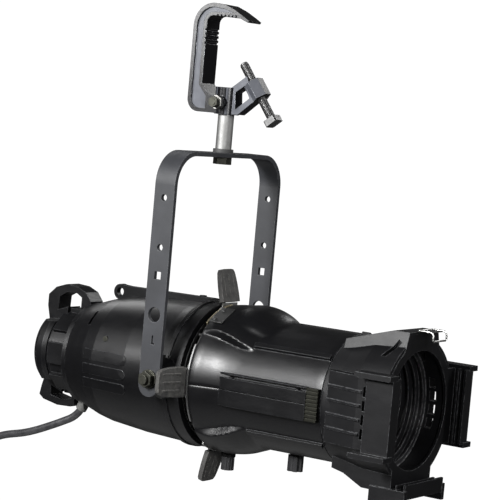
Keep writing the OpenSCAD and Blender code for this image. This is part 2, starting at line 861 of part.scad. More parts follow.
module lens_nose() color(casting)
    difference() {
        union() {
            turned([[tube_in, nose_rear], [85.5, nose_rear], [88, -262], [93, -290], [95, -334],
                    [nose_in, -334], [nose_in, nose_rear - 6], [tube_in, nose_rear - 6]]);
            nose_walls();
            translate([0, nose_front + face_t, 0]) rotate([90, 0, 0]) linear_extrude(face_t) nose_face();
            for (turn = [-90, 90, 180])
                channel(turn);
            // Shallow ribs on each side
            for (side = [0, 1], z = [-27, -9, 9, 27])
                mirror([side, 0, 0])
                    translate([0, 0, z - 1.5])
                        linear_extrude(3)
                            polygon([[84, -250], [88, -250], [100, -302], [100, -306], [90, -306]]);
        }
        along_beam(nose_rear + 1) cylinder(h = 7.3, r = tube_r + fit);
        along_beam(nose_rear - 6) cylinder(h = nose_rear - 6 - nose_front - face_t, r = nose_in);
        along_beam(nose_front + 10) cylinder(h = 20, r = bore_r);
        for (side = [0, 1], z = [-33, -15, 3, 21])
            mirror([side, 0, 0])
                translate([70, -317, z]) cube([40, 9, 13]);
        // Slanted slots down the hood's flanks
        for (side = [0, 1])
            mirror([side, 0, 0])
                translate([50, -313.5, 73]) rotate([31.5, 0, 0]) cube([22, 6, 42], center = true);
    }

lens_y = -196;
lens_r = 76;

module lens() color([0.8, 0.9, 0.95, 0.4]) {
    bulge = 9;
    turned(concat(
        [[0, lens_y + 2 + bulge]],
        [for (i = [1 : 8]) [lens_r * i / 8, lens_y + 2 + bulge * (1 - pow(i / 8, 2))]],
        [for (i = [8 : -1 : 0]) [lens_r * i / 8, lens_y - 2 - bulge * (1 - pow(i / 8, 2))]]
    ));
}

module lens_ring() color([0.12, 0.12, 0.12]) {
    beam_tube(lens_y - 3.1, lens_y - 6, tube_in - fit, 72);
    beam_tube(lens_y + 6, lens_y - 3.1, tube_in - fit, lens_r + 0.2);
}

baffle_count = 6;

module lens_baffles() color([0.2, 0.2, 0.2]) {
    beam_tube(-250, -303, nose_in - 0.1, nose_in - 1);
    for (i = [0 : baffle_count - 1])
        beam_tube(-250 - 10 * i, -252 - 10 * i, nose_in - 0.5, 66 + 2 * i);
}

clip_y = -337.4;
clip_z = 105;

module frame_clip() color(bright_zinc) {
    translate([0, clip_y, clip_z]) along_x(-20) cylinder(h = 40, r = 1.6);
    translate([-18, -357, clip_z - 0.8]) cube([36, 19.6, 1.6]);
    translate([-18, -358, clip_z - 12]) cube([36, 1.4, 12.8]);
}

hang() clamp_hook();
hang() pipe_bolt();
hang() pan_lock_screw();
hang() pan_lock_nut();
hang() stud();
hang() strap_washer();
hang() yoke_bolt();
hang() yoke_strap();
hang() yoke_arm_near();
hang() yoke_arm_far();
hang() pivot_bolt_near();
hang() pivot_nut_near();
hang() pivot_washer_near();
hang() pivot_bolt_far();
hang() pivot_washer_far();
hang() tilt_lock_knob();
hang() reflector_housing();
hang() housing_rail();
hang() housing_screws();
hang() reflector();
hang() burner_body();
hang() burner_cap();
hang() burner_screw();
hang() centring_knob();
hang() peak_knob();
hang() lamp_socket();
hang() lamp_base();
hang() lamp_glass();
hang() lamp_filament();
hang() cord_gland();
hang() cord_lead();
hang() cord_coil();
hang() cord_tie();
hang() cord_tail();
hang() plug_body();
hang() plug_pins();
hang() gate_rear_plate();
hang() gate_front_plate();
hang() shutter_top();
hang() shutter_bottom();
hang() shutter_near();
hang() shutter_far();
hang() grip_top();
hang() grip_bottom();
hang() grip_near();
hang() grip_far();
hang() barrel_upper();
hang() barrel_lower();
hang() barrel_end_near();
hang() barrel_end_far();
hang() barrel_screws();
hang() slot_cover();
hang() rotation_knob();
hang() focus_knob();
hang() focus_stub();
hang() lens_tube();
hang() lens_nose();
hang() lens();
hang() lens_ring();
hang() lens_baffles();
hang() frame_clip();
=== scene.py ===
import math
import bmesh
import bpy
from mathutils import Matrix, Vector


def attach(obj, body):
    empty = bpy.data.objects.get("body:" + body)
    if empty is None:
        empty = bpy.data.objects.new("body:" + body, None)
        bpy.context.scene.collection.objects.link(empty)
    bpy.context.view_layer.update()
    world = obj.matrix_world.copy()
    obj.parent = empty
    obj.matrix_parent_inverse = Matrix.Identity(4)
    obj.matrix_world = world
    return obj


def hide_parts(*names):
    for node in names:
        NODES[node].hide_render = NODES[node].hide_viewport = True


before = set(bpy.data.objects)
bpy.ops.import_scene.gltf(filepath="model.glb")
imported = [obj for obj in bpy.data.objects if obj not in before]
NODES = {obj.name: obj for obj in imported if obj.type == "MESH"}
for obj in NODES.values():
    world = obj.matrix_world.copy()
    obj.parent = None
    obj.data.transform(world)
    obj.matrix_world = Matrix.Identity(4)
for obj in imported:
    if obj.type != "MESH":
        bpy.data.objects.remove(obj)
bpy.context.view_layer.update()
SCENE = bpy.context.scene

# The tilt axis in the row frame: the parts are laid out about it in millimetres
PIVOT = Vector((0.0, -0.008, -0.461))


def P(x, y, z):
    return PIVOT + Vector((x, y, z)) * 0.001


# ------------------------------------------------------------------ camera

AZ, EL, ROLL = math.radians(-56.9), math.radians(4.12), math.radians(5.03)
TARGET = Vector((0.0085, -0.0603, -0.2851))
DISTANCE = 2.7326

right = Vector((math.cos(AZ), math.sin(AZ), 0))
up = Vector((-math.sin(AZ) * math.sin(EL), math.cos(AZ) * math.sin(EL), math.cos(EL)))
back = Vector((math.sin(AZ) * math.cos(EL), -math.cos(AZ) * math.cos(EL), math.sin(EL)))
cam_x = math.cos(ROLL) * right + math.sin(ROLL) * up
cam_y = -math.sin(ROLL) * right + math.cos(ROLL) * up
cam_data = bpy.data.cameras.new("camera")
cam_data.lens = 144.66
cam_data.sensor_width = 36
cam_data.clip_start, cam_data.clip_end = 0.05, 60
cam = bpy.data.objects.new("camera", cam_data)
SCENE.collection.objects.link(cam)
cam.matrix_world = Matrix.Translation(TARGET + back * DISTANCE) @ Matrix(
    (cam_x, cam_y, back)).transposed().to_4x4()
SCENE.camera = cam
SCENE.view_settings.view_transform = "Standard"
SCENE.view_settings.look = "None"


# ------------------------------------------------------------------ cord

CORD_D = 0.011
LEAD = [
    (-14, 196, -80), (-14, 198.9, -85), (-14.5, 203.5, -89.5), (-15, 208, -93.5), (-16, 213.5, -97),
    (-17, 222, -101), (-18, 232, -106), (-19, 248, -113), (-20, 264, -120), (-20, 280, -126),
    (-20, 296, -131), (-20, 312, -134.5), (-20, 326, -138), (-20, 340, -143), (-20, 352, -150),
    (-20, 362, -160), (-20, 369, -172), (-20, 373, -186), (-20, 374, -200),
]
COIL_R, COIL_ROWS = 55, 23
TURNS, PER_TURN = 2, 24


def cord_route():
    """Lead, the two turns of the coil and the drop to the plug, in millimetres about the pivot."""
    points = list(LEAD)
    x0, y0, z0 = LEAD[-1]
    for i in range(1, TURNS * PER_TURN):
        t = i / (TURNS * PER_TURN)
        a = -2 * math.pi * TURNS * t
        points.append((x0 - COIL_R + COIL_R * math.cos(a), y0 + COIL_ROWS * t, z0 + COIL_R * math.sin(a)))
    for drop in (0, 20, 40, 62):
        points.append((x0, y0 + COIL_ROWS, z0 - drop))
    return points


def material(name, build):
    m = bpy.data.materials.new(name)
    m.use_nodes = True
    build(m)
    return m


class Graph:
    """Small helper over a material's nodes."""

    def __init__(self, m):
        self.t = m.node_tree
        self.bsdf = next(n for n in self.t.nodes if n.type == "BSDF_PRINCIPLED")
        self.coord = self.t.nodes.new("ShaderNodeTexCoord").outputs["Object"]

    def node(self, kind, **props):
        n = self.t.nodes.new(kind)
        for k, v in props.items():
            setattr(n, k, v)
        return n

    def link(self, a, b):
        self.t.links.new(a, b)

    def noise(self, scale, detail=3.0, rough=0.55, stretch=None):
        n = self.node("ShaderNodeTexNoise")
        n.inputs["Scale"].default_value = scale
        n.inputs["Detail"].default_value = detail
        n.inputs["Roughness"].default_value = rough
        if stretch:
            mapping = self.node("ShaderNodeMapping")
            mapping.inputs["Scale"].default_value = stretch
            self.link(self.coord, mapping.inputs["Vector"])
            self.link(mapping.outputs["Vector"], n.inputs["Vector"])
        else:
            self.link(self.coord, n.inputs["Vector"])
        return n.outputs["Fac"]

    def ramp(self, value, low, high, a=0.0, b=1.0):
        n = self.node("ShaderNodeMapRange", clamp=True)
        for key, v in (("From Min", low), ("From Max", high), ("To Min", a), ("To Max", b)):
            n.inputs[key].default_value = v
        self.link(value, n.inputs["Value"])
        return n.outputs["Result"]

    def math(self, op, a, b=None):
        n = self.node("ShaderNodeMath", operation=op)
        for i, v in enumerate((a, b)):
            if v is None:
                continue
            if isinstance(v, (int, float)):
                n.inputs[i].default_value = v
            else:
                self.link(v, n.inputs[i])
        return n.outputs["Value"]

    def mix(self, fac, a, b):
        n = self.node("ShaderNodeMix", data_type="RGBA")
        for key, v in ((0, fac), (6, a), (7, b)):
            if isinstance(v, (tuple, list)):
                n.inputs[key].default_value = (*v, 1.0)
            elif isinstance(v, (int, float)):
                n.inputs[key].default_value = v
            else:
                self.link(v, n.inputs[key])
        return n.outputs[2]

    def edges(self, radius, low=0.004, high=0.10, break_scale=260):
        """Mask of rubbed edges, which the looks also use as a painted edge highlight, and the rounded normal
        that goes with it.
        """
        bevel = self.node("ShaderNodeBevel", samples=4)
        bevel.inputs["Radius"].default_value = radius
        flat = self.node("ShaderNodeNewGeometry").outputs["Normal"]
        dot = self.node("ShaderNodeVectorMath", operation="DOT_PRODUCT")
        self.link(bevel.outputs["Normal"], dot.inputs[0])
        self.link(flat, dot.inputs[1])
        away = self.math("SUBTRACT", 1.0, dot.outputs["Value"])
        mask = self.ramp(away, low, high)
        broken = self.ramp(self.noise(break_scale, 4), 0.38, 0.62)
        return bevel.outputs["Normal"], self.math("MULTIPLY", mask, broken)

    def bump(self, height, strength, distance, normal=None):
        n = self.node("ShaderNodeBump")
        n.inputs["Strength"].default_value = strength
        n.inputs["Distance"].default_value = distance
        self.link(height, n.inputs["Height"])
        if normal is not None:
            self.link(normal, n.inputs["Normal"])
        return n.outputs["Normal"]

    def set(self, **values):
        for key, v in values.items():
            socket = self.bsdf.inputs[key.replace("_", " ")]
            if isinstance(v, tuple):
                socket.default_value = (*v, 1.0)
            elif isinstance(v, (int, float)):
                socket.default_value = v
            else:
                self.link(v, socket)


def powder(base, worn_and_highlight, grain, rough, depth, wear_and_highlight=0.6, specular=0.4, edge=0.0012):
    """Baked powder paint: fine orange-peel grain, dusty patches, and rubbed edges that also carry a painted
    edge highlight.
    """
    def build(m):
        g = Graph(m)
        normal, rub_and_highlight = g.edges(edge)
        fine = g.noise(grain, 2.0, 0.6)
        patch = g.ramp(g.noise(22, 4, 0.6), 0.35, 0.7)
        smudge = g.ramp(g.noise(70, 5, 0.65, (1, 0.35, 1)), 0.45, 0.75)
        colour = g.mix(g.math("MULTIPLY", patch, 0.6), base, tuple(c * 1.7 for c in base))
        # Edge colour: rubbed paint, and also a painted edge highlight along every edge
        colour = g.mix(g.math("MULTIPLY", rub_and_highlight, wear_and_highlight), colour, worn_and_highlight)
        g.set(Base_Color=colour,
              Roughness=g.math("ADD", g.math("MULTIPLY", smudge, 0.08),
                               g.ramp(fine, 0.2, 0.8, rough - 0.05, rough + 0.06)),
              Normal=g.bump(fine, 1.0, depth, normal))
        g.bsdf.inputs["Specular IOR Level"].default_value = specular
    return build


def metal(base, tint, rough, brush=(1, 1, 1), scale=300, depth=0.00002, edge=0.0008, dull=0.25):
    """Plated or bare metal with fine scratches, cloudy tarnish, and rubbed bright edges that are partly a
    painted edge highlight.
    """
    def build(m):
        g = Graph(m)
        normal, rub_and_highlight = g.edges(edge)
        lines = g.noise(scale, 3, 0.6, brush)
        cloud = g.ramp(g.noise(45, 4, 0.6), 0.35, 0.7)
        specks = g.ramp(g.noise(900, 2), 0.62, 0.75)
        colour = g.mix(cloud, base, tint)
        colour = g.mix(g.math("MULTIPLY", specks, 0.5), colour, tuple(c * 0.35 for c in tint))
        # Brighter edges: rubbed metal, and also a painted edge highlight
        colour = g.mix(g.math("MULTIPLY", rub_and_highlight, 0.7), colour, tuple(min(1, c * 1.5) for c in base))
        g.set(Base_Color=colour, Metallic=1.0,
              Roughness=g.math("ADD", g.ramp(lines, 0.2, 0.8, rough - 0.06, rough + 0.1),
                               g.math("MULTIPLY", cloud, dull * 0.4)),
              Normal=g.bump(lines, 0.8, depth, normal))
    return build


def enamel(m):
    """Glossy black enamel on rough cast iron, with edges rubbed to bright metal that also serve as a painted
    edge highlight, and the recessed web faces painted light bluish grey as a painted reflection.
    """
    g = Graph(m)
    normal, rub_and_highlight = g.edges(0.0009, 0.01, 0.12, 180)
    sand = g.noise(420, 3, 0.6)
    place = g.node("ShaderNodeSeparateXYZ")
    g.link(g.coord, place.inputs["Vector"])
    proud = g.ramp(g.math("ABSOLUTE", place.outputs["X"]), 0.01535, 0.01547)
    facing = g.node("ShaderNodeSeparateXYZ")
    g.link(g.node("ShaderNodeNewGeometry").outputs["True Normal"], facing.inputs["Vector"])
    side = g.ramp(g.math("ABSOLUTE", facing.outputs["X"]), 0.75, 0.92)
    recess = g.math("MULTIPLY", side, g.math("SUBTRACT", 1.0, proud))
    cast = g.ramp(g.noise(60, 5, 0.65), 0.3, 0.7)
    # Recessed side faces painted light bluish grey with a mottle: a painted reflection on the black enamel.
    # All other faces stay near black.
    skin_and_reflection = g.mix(recess, (0.004, 0.004, 0.005), g.mix(cast, (0.066, 0.070, 0.082), (0.100, 0.105, 0.120)))
    # Edges rubbed to bright metal, which also paints the thin highlight along the rims
    g.set(Base_Color=g.mix(g.math("MULTIPLY", rub_and_highlight, 0.8), skin_and_reflection, (0.40, 0.41, 0.44)),
          Metallic=g.math("MULTIPLY", rub_and_highlight, 0.8),
          Roughness=g.math("ADD", g.ramp(sand, 0.3, 0.7, 0.20, 0.27), g.math("MULTIPLY", recess, 0.22)),
          Normal=g.bump(sand, 0.4, 0.000012, normal))
    g.bsdf.inputs["Specular IOR Level"].default_value = 0.25
    g.bsdf.inputs["Coat Weight"].default_value = 0.05
    g.bsdf.inputs["Coat Roughness"].default_value = 0.12


def glass(tint, rough, blue=0.0):
    def build(m):
        g = Graph(m)
        dust = g.ramp(g.noise(240, 4), 0.5, 0.8, rough, rough + 0.08)
        g.set(Base_Color=tint, Roughness=dust)
        g.bsdf.inputs["Transmission Weight"].default_value = 1.0
        g.bsdf.inputs["IOR"].default_value = 1.47
        if blue:
            g.bsdf.inputs["Thin Film Thickness"].default_value = blue
            g.bsdf.inputs["Thin Film IOR"].default_value = 1.35
    return build


def mirror(m):
    """Hammered, faceted aluminium reflector."""
    g = Graph(m)
    cells = g.node("ShaderNodeTexVoronoi", feature="F1")
    cells.inputs["Scale"].default_value = 90
    g.link(g.coord, cells.inputs["Vector"])
    g.set(Base_Color=g.mix(g.noise(40), (0.80, 0.81, 0.83), (0.93, 0.93, 0.92)), Metallic=1.0,
          Roughness=g.ramp(g.noise(200), 0.3, 0.7, 0.06, 0.14),
          Normal=g.bump(cells.outputs["Distance"], 0.5, 0.0006))


def fibre(m):
    """Moulded fibre-filled grip: mottled grey-brown with short light strands."""
    g = Graph(m)
    normal, rub_and_highlight = g.edges(0.001)
    strands = g.ramp(g.noise(700, 4, 0.7, (1, 1, 0.25)), 0.52, 0.66)
    mottle = g.ramp(g.noise(130, 5, 0.7), 0.35, 0.68)
    colour = g.mix(mottle, (0.028, 0.027, 0.027), (0.066, 0.065, 0.062))
    colour = g.mix(g.math("MULTIPLY", strands, 0.35), colour, (0.13, 0.125, 0.11))
    # Lighter edges: rubbed fibre, and also a painted edge highlight
    colour = g.mix(g.math("MULTIPLY", rub_and_highlight, 0.6), colour, (0.22, 0.21, 0.19))
    g.set(Base_Color=colour, Roughness=g.ramp(mottle, 0, 1, 0.5, 0.68),
          Normal=g.bump(g.noise(520, 4, 0.7), 1.0, 0.0001, normal))


def jacket(m):
    """Cord jacket: dark rubber with a soft sheen and fine lengthwise scuffs."""
    g = Graph(m)
    scuff = g.noise(420, 4, 0.65, (1, 0.25, 1))
    dust = g.ramp(g.noise(90, 4), 0.4, 0.75)
    g.set(Base_Color=g.mix(dust, (0.020, 0.020, 0.022), (0.050, 0.050, 0.053)),
          Roughness=g.ramp(scuff, 0.25, 0.75, 0.34, 0.50),
          Normal=g.bump(scuff, 0.6, 0.00005))


def moulded(base, rough, grain=1100, depth=0.00003, edge=0.0008):
    def build(m):
        g = Graph(m)
        normal, rub_and_highlight = g.edges(edge)
        fine = g.noise(grain, 2, 0.5)
        mottle = g.noise(60, 3, 0.5)
        colour = g.mix(mottle, base, tuple(c * 1.6 for c in base))
        # Lighter edges: rubbed plastic, and also a painted edge highlight
        colour = g.mix(g.math("MULTIPLY", rub_and_highlight, 0.35), colour, tuple(min(0.8, c * 4 + 0.04) for c in base))
        g.set(Base_Color=colour, Roughness=g.ramp(fine, 0.2, 0.8, rough - 0.06, rough + 0.08),
              Normal=g.bump(fine, 0.8, depth, normal))
    return build


MATS = {
    "clamp_iron": material("clamp_iron_look", enamel),
    "zinc": material("zinc_look", metal((0.40, 0.40, 0.385), (0.24, 0.235, 0.22), 0.30)),
    "black_fibre": material("black_fibre_look", moulded((0.02, 0.02, 0.02), 0.6)),
    "yoke_paint": material("yoke_look", powder((0.023, 0.024, 0.027), (0.17, 0.17, 0.18),
                                               900, 0.46, 0.00009, 0.8, 0.36)),
    "black_casting": material("casting_look", powder((0.0020, 0.0020, 0.0024), (0.085, 0.087, 0.093),
                                                     750, 0.32, 0.00008, 0.7, 0.36, 0.0009)),
    "plain_steel": material("steel_look", metal((0.55, 0.55, 0.54), (0.38, 0.38, 0.37), 0.34, (1, 1, 0.1))),
    "dark_zinc": material("dark_zinc_look", metal((0.085, 0.085, 0.072), (0.045, 0.045, 0.038), 0.38)),
    "mirror_metal": material("mirror_look", mirror),
    "black_plastic": material("plastic_look", moulded((0.012, 0.012, 0.013), 0.42)),
    "ceramic_white": material("ceramic_look", moulded((0.62, 0.60, 0.54), 0.35, 500)),
    "lamp_metal": material("lamp_metal_look", metal((0.72, 0.72, 0.74), (0.55, 0.55, 0.56), 0.25)),
    "lamp_glass": material("lamp_glass_look", glass((0.98, 0.99, 1.0), 0.01)),
    "cord_jacket": material("jacket_look", jacket),
    "gland_plastic": material("gland_look", moulded((0.075, 0.075, 0.072), 0.45)),
    "brass_pins": material("brass_look", metal((0.75, 0.55, 0.22), (0.55, 0.40, 0.17), 0.28)),
    "grip_fibre": material("grip_look", fibre),
    "black_sheet": material("sheet_look", powder((0.012, 0.012, 0.012), (0.16, 0.16, 0.16),
                                                 1200, 0.38, 0.00005, 0.8)),
    "lens_glass": material("lens_look", glass((0.93, 0.97, 0.98), 0.01, 420.0)),
    "clip_steel": material("clip_look", metal((0.66, 0.66, 0.64), (0.5, 0.5, 0.49), 0.26)),
}
MATS["end_metal"] = material("end_look", metal((0.034, 0.034, 0.028), (0.018, 0.018, 0.015), 0.42))
MATS["stud_zinc"] = material("stud_look", metal((0.30, 0.30, 0.295), (0.20, 0.20, 0.195), 0.50, (1, 1, 0.1)))
MATS["strip_steel"] = material("strip_look", metal((0.30, 0.30, 0.30), (0.20, 0.20, 0.20), 0.45))
MATS["strip_brass"] = material("strip_brass_look", metal((0.46, 0.40, 0.27), (0.30, 0.26, 0.18), 0.40))
# Baffle rings: their light edge colour at a high weight is mostly a painted edge highlight on the ring
# edges, with some rubbed paint
MATS["bore_black"] = material("bore_look", powder((0.010, 0.010, 0.011), (0.26, 0.26, 0.27),
                                               750, 0.32, 0.00006, 0.9, 0.55, 0.0010))
MATS["nose_black"] = material("nose_look", powder((0.0034, 0.0034, 0.0039), (0.14, 0.143, 0.15),
                                               800, 0.40, 0.00009, 0.9, 0.27))
MATS["zinc_dark"] = material("thread_look", metal((0.20, 0.20, 0.20), (0.10, 0.10, 0.10), 0.34))

# Each node takes the look of its slot, and a few take a look of their own
for obj in NODES.values():
    for s in obj.material_slots:
        base_name = s.material.name.split(".")[0] if s.material else ""
        key = next((k for k in MATS if k == base_name or base_name.startswith(k)), None)
        if key:
            s.material = MATS[key]
for look, names in (("dark_zinc", ("pivot_bolt_near", "pivot_nut_near", "pivot_washer_near",
                                   "pan_lock_screw", "yoke_bolt")),
                    ("end_metal", ("barrel_end_near", "barrel_end_far")), ("stud_zinc", ("stud",)),
                    ("bore_black", ("lens_baffles",)), ("nose_black", ("lens_nose",))):
    for name in names:
        for s in NODES[name].material_slots:
            s.material = MATS[look]


# ------------------------------------------------------------------ mesh helpers

def piece(name, bm, body, node=None, mat=None, bevel=None, angle=35):
    """Turns a bmesh built in millimetres about the pivot into a piece that rides on a body."""
    mesh = bpy.data.meshes.new(name)
    bmesh.ops.recalc_face_normals(bm, faces=bm.faces)
    bm.to_mesh(mesh)
    bm.free()
    mesh.transform(Matrix.Translation(PIVOT) @ Matrix.Scale(0.001, 4))
    obj = bpy.data.objects.new(name, mesh)
    SCENE.collection.objects.link(obj)
    if mat:
        mesh.materials.append(mat)
    mesh.shade_smooth()
    mesh.set_sharp_from_angle(angle=math.radians(angle))
    if bevel:
        width, segments = bevel
        mod = obj.modifiers.new("round", "BEVEL")
        mod.width, mod.segments = width * 0.001, segments
        mod.limit_method, mod.angle_limit = "ANGLE", math.radians(30)
        mod.harden_normals = True
    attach(obj, body)
    if node:
        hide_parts(*([node] if isinstance(node, str) else node))
    return obj


def threaded(bm, place, length, radius, pitch, depth, sides=40, per=8, taper=2.0):
    """A cut thread along local +Z, with a run-out at the tip."""
    steps = int(length / pitch * per)
    rings = []
    for i in range(steps + 1):
        z = length * i / steps
        ring = []
        for k in range(sides):
            a = 2 * math.pi * k / sides
            phase = (z / pitch - k / sides) % 1.0
            cut = depth * (1 - abs(2 * phase - 1)) ** 0.8
            lead = min(1.0, (z + 0.3) / taper, (length - z + 0.3) / taper)
            r = (radius - cut) * (0.82 + 0.18 * lead)
            ring.append(bm.verts.new(place @ Vector((r * math.cos(a), r * math.sin(a), z))))
        rings.append(ring)
    for lower, upper in zip(rings, rings[1:]):
        for k in range(sides):
            n = (k + 1) % sides
            bm.faces.new((lower[k], lower[n], upper[n], upper[k]))
    bm.faces.new(list(reversed(rings[0])))
    bm.faces.new(rings[-1])


def lathe(bm, place, profile, sides=64):
    """A solid turned about local Z from (radius, height) points."""
    rings = []
    for r, z in profile:
        if r < 1e-6:
            rings.append([bm.verts.new(place @ Vector((0, 0, z)))])
            continue
        ring = []
        for k in range(sides):
            a = 2 * math.pi * k / sides
            ring.append(bm.verts.new(place @ Vector((r * math.cos(a), r * math.sin(a), z))))
        rings.append(ring)
    for lower, upper in zip(rings, rings[1:]):
        for k in range(sides):
            n = (k + 1) % sides
            if len(lower) == 1 and len(upper) == 1:
                continue
            if len(lower) == 1:
                bm.faces.new((lower[0], upper[n], upper[k]))
            elif len(upper) == 1:
                bm.faces.new((lower[k], lower[n], upper[0]))
            else:
                bm.faces.new((lower[k], lower[n], upper[n], upper[k]))


def slab(bm, place, outline, t0, t1):
    """A plate with a polygon outline in local XY, between two heights."""
    low = [bm.verts.new(place @ Vector((x, y, t0))) for x, y in outline]
    high = [bm.verts.new(place @ Vector((x, y, t1))) for x, y in outline]
    for i in range(len(outline)):
        n = (i + 1) % len(outline)
        bm.faces.new((low[i], low[n], high[n], high[i]))
    bm.faces.new(list(reversed(low)))
    bm.faces.new(high)


def rot(axis, degrees):
    return Matrix.Rotation(math.radians(degrees), 4, axis)


def at(x, y, z):
    return Matrix.Translation((x, y, z))


# ------------------------------------------------------------------ cord pieces

def cord_piece():
    points = cord_route()
    curve = bpy.data.curves.new("supply_cord", "CURVE")
    curve.dimensions = "3D"
    spline = curve.splines.new("NURBS")
    spline.points.add(len(points) - 1)
    for p, co in zip(spline.points, points):
        p.co = (*P(*co), 1.0)
    spline.order_u = 4
    spline.use_endpoint_u = True
    spline.resolution_u = 6
    curve.bevel_depth = CORD_D / 2
    curve.bevel_resolution = 8
    curve.use_fill_caps = True
    curve.materials.append(MATS["cord_jacket"])
    obj = bpy.data.objects.new("supply_cord", curve)
    SCENE.collection.objects.link(obj)
    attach(obj, "burner")
    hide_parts("cord_lead", "cord_coil", "cord_tail")
    return obj


cord = cord_piece()


# ------------------------------------------------------------------ clamp and fastenings

BOLT_TIP, BOLT_LEAN = (0, -21.2, 427), -36.8
BOLT_LEN, BOLT_R, BOLT_PITCH, BOLT_CUT = 88, 6.35, 2.0, 1.15
BOLT_HEAD = 9


def bolt_place(back_off):
    """A place on the pipe bolt's line, so far back from its tip."""
    return at(*BOLT_TIP) @ rot("X", BOLT_LEAN) @ at(0, 0, -back_off)


def pipe_bolt_piece():
    bm = bmesh.new()
    threaded(bm, bolt_place(BOLT_LEN), BOLT_LEN, BOLT_R, BOLT_PITCH, BOLT_CUT, taper=3.5)
    head = [(-9.5, -7.5), (-7.5, -9.5), (7.5, -9.5), (9.5, -7.5),
            (9.5, 7.5), (7.5, 9.5), (-7.5, 9.5), (-9.5, 7.5)]
    slab(bm, bolt_place(BOLT_LEN + BOLT_HEAD), head, 0, BOLT_HEAD)
    piece("pipe_bolt_threaded", bm, "pipe_screw", "pipe_bolt", MATS["zinc_dark"],
          bevel=(0.9, 3))


def grip_piece(name, turn, plane):
    """Moulded grip: a leaning paddle with swept corners and a shallow thumb rib."""
    outline = [(-20, 1), (-12, 0.8), (12, 0.8), (20, 1), (20.3, 12), (19.6, 24), (18.4, 34),
               (16.8, 41.5), (13.5, 45.6), (8, 46.2), (-8, 46.2), (-13.5, 45.6), (-16.8, 41.5),
               (-18.4, 34), (-19.6, 24), (-20.3, 12)]
    place = rot("Y", turn) @ at(0, plane, 101.5) @ rot("X", -15) @ rot("X", 90)
    bm = bmesh.new()
    slab(bm, place, outline, -3.5, 3.5)
    for x in (-11, 0, 11):
        slab(bm, place, [(x - 1.2, 9), (x + 1.2, 9), (x + 1.2, 38), (x, 40), (x - 1.2, 38)], 3.2, 4.1)
    piece(f"{name}_moulded", bm, name.replace("grip", "shutter"), name,
          MATS["grip_fibre"], bevel=(1.7, 4))


pipe_bolt_piece()
for name, turn, plane in (("grip_top", 0, -33), ("grip_bottom", 180, -30),
                          ("grip_near", -90, -38.4), ("grip_far", 90, -36)):
    grip_piece(name, turn, plane)


# ------------------------------------------------------------------ lens barrel

BARREL_R, BACK_END, FRONT_END = 86, -42, -240
# (place, radius) along the barrel: the plain body, and the swelling at its back end
BASE = [(-42, 97), (-50, 96), (-62, 93), (-78, 89.5), (-95, 87.2), (-115, 86), (-240, 86)]
SWELL = [(-42, 99.5), (-58, 101.5), (-72, 101), (-92, 97.5), (-110, 91), (-128, 85), (-240, 85)]


def along(table, y):
    """Smooth reading of a (place, radius) table that runs towards the front."""
    def slope(i):
        low, high = max(i - 1, 0), min(i + 1, len(table) - 1)
        return (table[high][1] - table[low][1]) / (table[low][0] - table[high][0])
    for i, ((ya, ra), (yb, rb)) in enumerate(zip(table, table[1:])):
        if y >= yb:
            t = (ya - y) / (ya - yb)
            va, vb = slope(i) * (ya - yb), slope(i + 1) * (ya - yb)
            return ((2 * t ** 3 - 3 * t ** 2 + 1) * ra + (t ** 3 - 2 * t ** 2 + t) * va
                    + (3 * t ** 2 - 2 * t ** 3) * rb + (t ** 3 - t ** 2) * vb)
    return table[-1][1]


def ease(x, a, b):
    t = min(1.0, max(0.0, (x - a) / (b - a)))
    return t * t * (3 - 2 * t)


def soft_max(a, b, k):
    h = max(k - abs(a - b), 0.0) / k
    return max(a, b) + h * h * k * 0.25


def barrel_radius(theta, y):
    """Outside radius of the barrel, theta in degrees from the top towards the far side."""
    t = math.radians(theta)
    r = along(BASE, y)
    off_top = abs((theta + 180) % 360 - 180)
    off_end = min(off_top, 180 - off_top)
    edge = 47 + 5 * ease(-y, 60, 115)
    swell = along(SWELL, y)
    if swell > r:
        r += (swell - r) * (1 - ease(off_end, edge - 2.2, edge + 2.2))
    # Beads along the edges of the swelling
    r += 1.1 * math.exp(-((off_end - edge) / 1.5) ** 2) * (1 - ease(-y, 116, 126))
    if off_top < 60:
        inside = 75 ** 2 - (y + 88) ** 2 - (29.5 * math.sin(t)) ** 2
        if inside > 0:
            dome = 29.5 * math.cos(t) + math.sqrt(inside)
            dome -= 14 * ease(off_top, 33, 50)
            r = soft_max(r, dome, 3.0)
    return r


